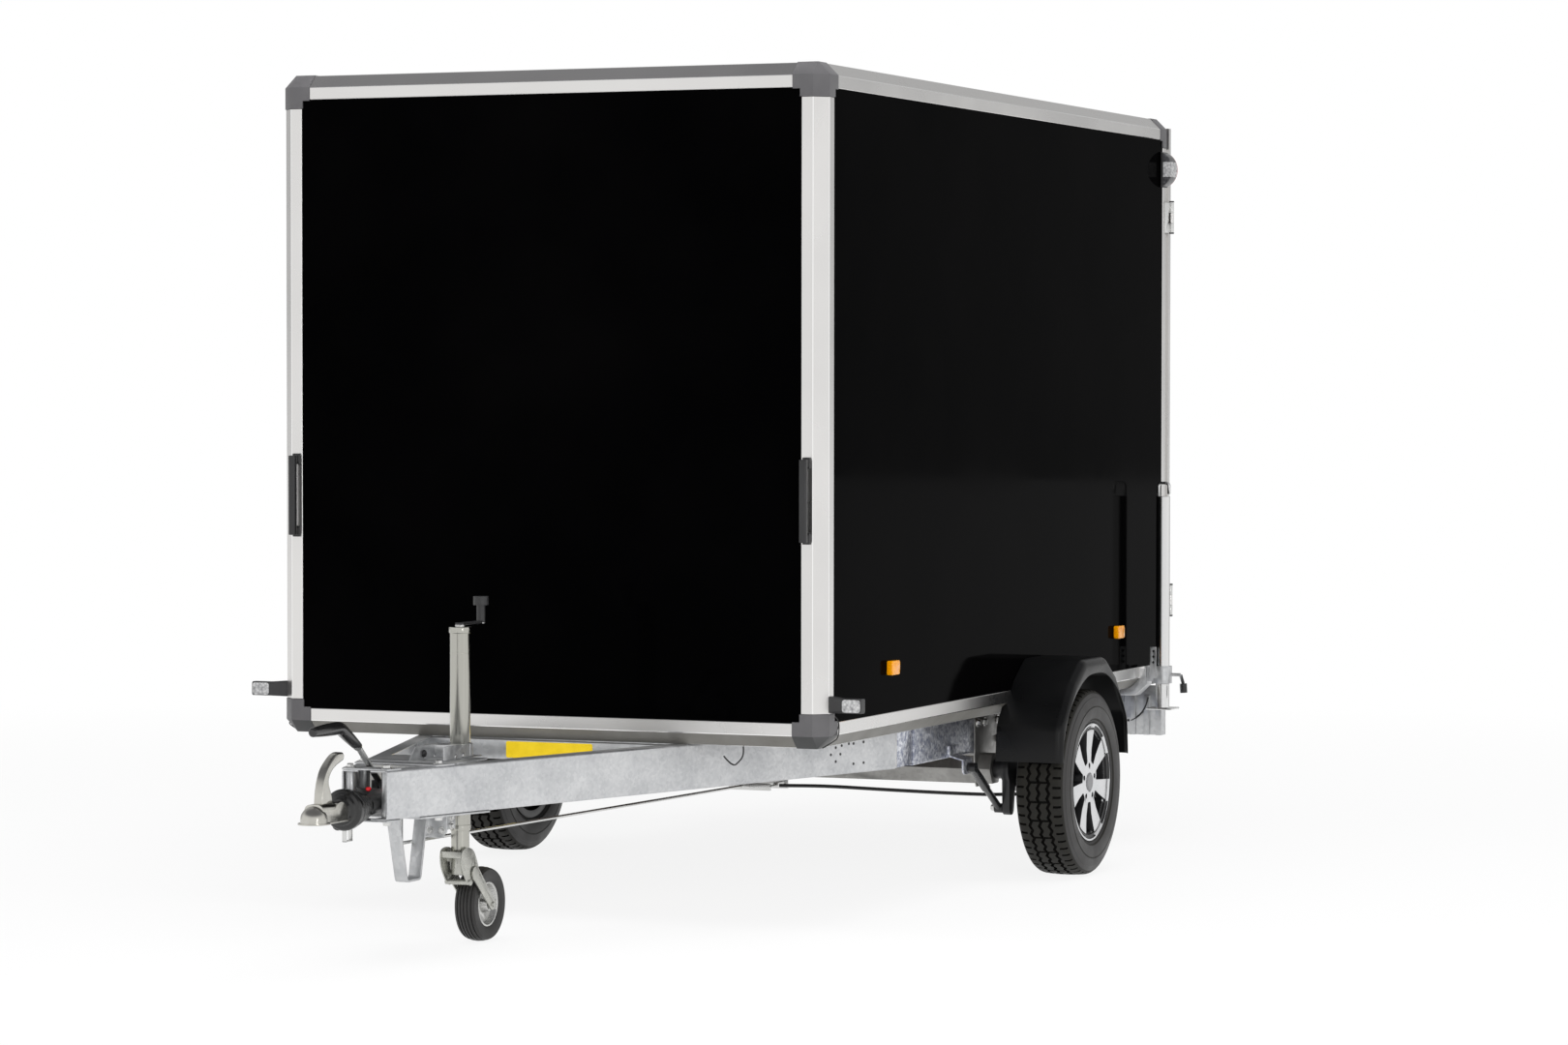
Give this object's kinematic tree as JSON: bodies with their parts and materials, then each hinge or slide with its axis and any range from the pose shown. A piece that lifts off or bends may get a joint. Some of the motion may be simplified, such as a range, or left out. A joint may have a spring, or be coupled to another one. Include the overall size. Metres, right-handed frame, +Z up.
{
  "type": "box trailer",
  "caption": "Single-axle box trailer with a high closed body, rear double doors, overrun coupling, jockey wheel and rear prop stands.",
  "frame": {"origin": "on the ground under the middle of the trailer's overall length and width", "axes": "+X forward to the coupling, +Y to the trailer's left, +Z up"},
  "size_m": [4.942, 2.28, 2.618],
  "materials": {
    "black_panel": "high-gloss black laminate on plywood",
    "floor_ply": "brown film-faced plywood",
    "extrusion": "anodised satin",
    "cap_plastic": "dark grey moulded",
    "black_plastic": "black moulded",
    "galvanised": "hot-dip galvanised, spangled",
    "zinc_plated": "zinc plated, faintly yellow",
    "black_steel": "black paint",
    "black_rubber": "matt",
    "tyre_rubber": "matt, ribbed",
    "alloy": "polished face, dark windows",
    "drum_iron": "dark",
    "lamp_white": "clear lens on a black rubber arm",
    "lamp_amber": "amber lens",
    "lamp_red": "red lens on a black base"
  },
  "bodies": {
    "trailer": {"front_panel": "black_panel", "left_panel": "black_panel", "right_panel": "black_panel", "roof_panel": "black_panel", "floor_panel": "floor_ply", "front_posts": "extrusion", "rear_posts": "extrusion", "top_rails": "extrusion", "bottom_rails": "extrusion", "corner_caps": "cap_plastic", "grab_handles": "black_plastic", "door_fixings": "galvanised", "drawbar_beams": "galvanised", "side_members": "galvanised", "cross_members": "galvanised", "rear_lamp_board": "galvanised", "head_plates": "galvanised", "overrun_housing": "black_steel", "overrun_gaiter": "black_rubber", "coupling_head": "zinc_plated", "coupling_lever": "zinc_plated", "handbrake_lever": "black_steel", "support_hoop": "galvanised", "jockey_clamp": "zinc_plated", "jockey_outer_tube": "zinc_plated", "jockey_crank": "black_steel", "axle_beam": "galvanised", "swing_arms": "galvanised", "shock_absorbers": "black_steel", "brake_linkage": "zinc_plated", "brake_cables": "black_rubber", "mudguard_left": "black_plastic", "mudguard_right": "black_plastic", "prop_brackets": "galvanised", "front_lamps": "lamp_white", "side_markers": "lamp_amber", "outline_lamps": "lamp_red", "rear_lamps": "lamp_red"},
    "door_left": {"door_frame_left": "extrusion", "door_panel_left": "black_panel", "lock_bar_left": "galvanised"},
    "door_right": {"door_frame_right": "extrusion", "door_panel_right": "black_panel", "lock_bar_right": "galvanised"},
    "wheel_left": {"tyre_left": "tyre_rubber", "rim_left": "alloy", "hub_left": "drum_iron"},
    "wheel_right": {"tyre_right": "tyre_rubber", "rim_right": "alloy", "hub_right": "drum_iron"},
    "jockey_leg": {"jockey_inner_tube": "zinc_plated"},
    "jockey_fork": {"jockey_fork": "zinc_plated"},
    "jockey_wheel": {"jockey_rim": "zinc_plated", "jockey_tyre": "tyre_rubber"},
    "prop_left": {"prop_left": "galvanised"},
    "prop_right": {"prop_right": "galvanised"}
  },
  "joints": [
    {"name": "wheel_left_spin", "type": "hinge", "parent": "trailer", "child": "wheel_left", "pos_m": [-0.961, 1.042, 0.314], "axis": [0, 1, 0], "continuous": true},
    {"name": "wheel_right_spin", "type": "hinge", "parent": "trailer", "child": "wheel_right", "pos_m": [-0.961, -1.042, 0.314], "axis": [0, 1, 0], "continuous": true},
    {"name": "jockey_height", "type": "slide", "parent": "trailer", "child": "jockey_leg", "axis": [0, 0, 1], "range_m": [-0.2, 0]},
    {"name": "jockey_swivel", "type": "hinge", "parent": "jockey_leg", "child": "jockey_fork", "pos_m": [1.599, 0.038, 0.279], "axis": [0, 0, 1], "continuous": true},
    {"name": "jockey_spin", "type": "hinge", "parent": "jockey_fork", "child": "jockey_wheel", "pos_m": [1.469, 0.038, 0.1105], "axis": [0, 1, 0], "continuous": true},
    {"name": "door_left_hinge", "type": "hinge", "parent": "trailer", "child": "door_left", "pos_m": [-2.4125, 0.931, 1.556], "axis": [0, 0, -1], "range_deg": [0, 190]},
    {"name": "door_right_hinge", "type": "hinge", "parent": "trailer", "child": "door_right", "pos_m": [-2.4125, -0.931, 1.556], "axis": [0, 0, 1], "range_deg": [0, 190]},
    {"name": "prop_left_slide", "type": "slide", "parent": "trailer", "child": "prop_left", "axis": [0, 0, 1], "range_m": [-0.481, 0]},
    {"name": "prop_right_slide", "type": "slide", "parent": "trailer", "child": "prop_right", "axis": [0, 0, 1], "range_m": [-0.481, 0]}
  ]
}
